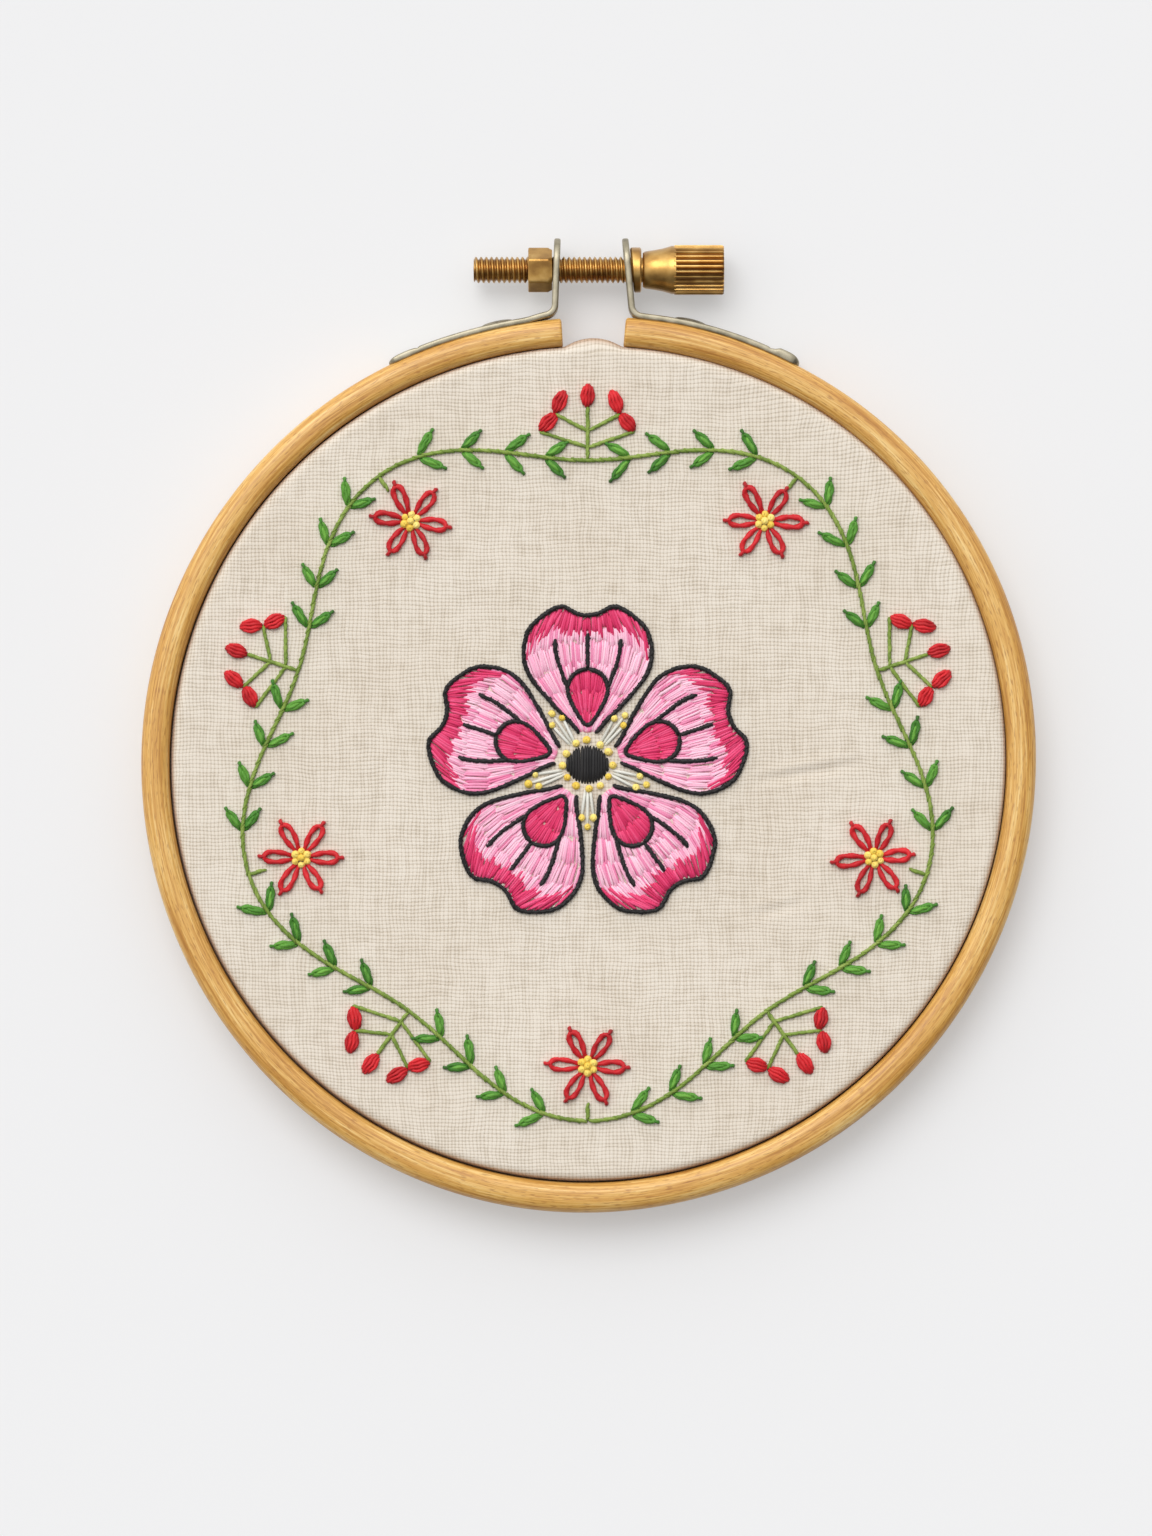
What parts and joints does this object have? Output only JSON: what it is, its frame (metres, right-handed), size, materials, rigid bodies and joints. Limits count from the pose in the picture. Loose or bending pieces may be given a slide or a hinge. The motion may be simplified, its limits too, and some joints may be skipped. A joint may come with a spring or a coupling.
{
  "type": "hoop embroidery art in a wooden embroidery hoop",
  "caption": "Cotton cloth with raised floral needlework, stretched in a split wooden hoop that a knurled brass screw clamps between two steel lugs.",
  "frame": {"origin": "centre of the bounding box, on the plane that the back of the hoop rests on", "axes": "+Z out of the embroidered face, +Y towards the clamping screw, +X along the screw towards its knurled head"},
  "size_m": [0.138, 0.1502, 0.0099],
  "materials": {
    "outer_wood": "satin",
    "inner_wood": "satin",
    "cotton": "matte",
    "lug_steel": "satin",
    "brass": "satin"
  },
  "bodies": {
    "hoop": {"outer_hoop": "outer_wood", "inner_hoop": "inner_wood", "cloth": "cotton", "lug_left": "lug_steel", "lug_right": "lug_steel", "nut": "brass"},
    "collar": {"collar": "brass"},
    "screw": {"screw": "brass"}
  },
  "joints": [
    {"name": "screw_travel", "type": "slide", "parent": "hoop", "child": "collar", "axis": [1, 0, 0], "range_m": [0, 0.0048]},
    {"name": "screw_turn", "type": "hinge", "parent": "collar", "child": "screw", "pos_m": [0.0009, 0.07045, 0.00475], "axis": [1, 0, 0], "range_deg": [0, 2160]}
  ],
  "couplings": [
    {"joint": "screw_turn", "follows": "screw_travel", "rad_per_m": 7854}
  ]
}
